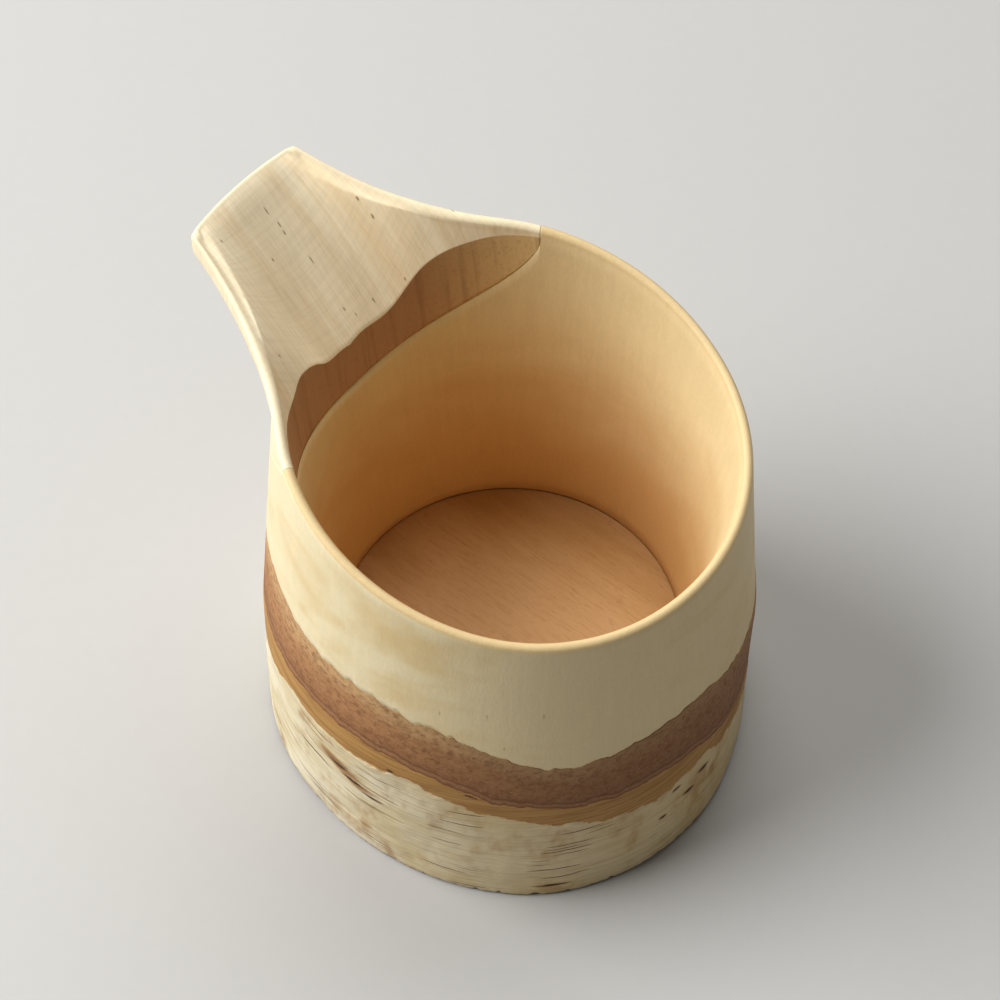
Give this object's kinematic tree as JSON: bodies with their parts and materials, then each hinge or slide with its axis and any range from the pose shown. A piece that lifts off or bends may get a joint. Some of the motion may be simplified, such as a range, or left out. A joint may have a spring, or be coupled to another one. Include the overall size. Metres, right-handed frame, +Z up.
{
  "type": "wooden drinking cup",
  "caption": "Round wooden drinking cup hollowed from a bark-covered log, with a sloping lip and a scooped, flaring one-piece handle let into its wall.",
  "frame": {"origin": "on the surface the cup stands on, under the middle of its outline seen from above", "axes": "+Z up, +X toward the handle's end, the cup's own axis upright at X = -7.2 mm"},
  "size_m": [0.1036, 0.0892, 0.0968],
  "materials": {
    "sapwood": "pale birch sapwood, sanded and oiled, soft satin",
    "inner_bark": "brown fibrous inner bark, cut smooth, matt",
    "outer_bark": "white papery birch bark with dark pores over ochre cork, matt",
    "handle_wood": "straight-grained pale wood, sanded and oiled, soft satin",
    "disc_wood": "straight-grained warm brown wood, sanded, satin"
  },
  "bodies": {
    "root": {"body_wall": "sapwood", "inner_bark": "inner_bark", "outer_bark": "outer_bark", "handle_block": "handle_wood", "bottom_disc": "disc_wood"}
  },
  "joints": []
}
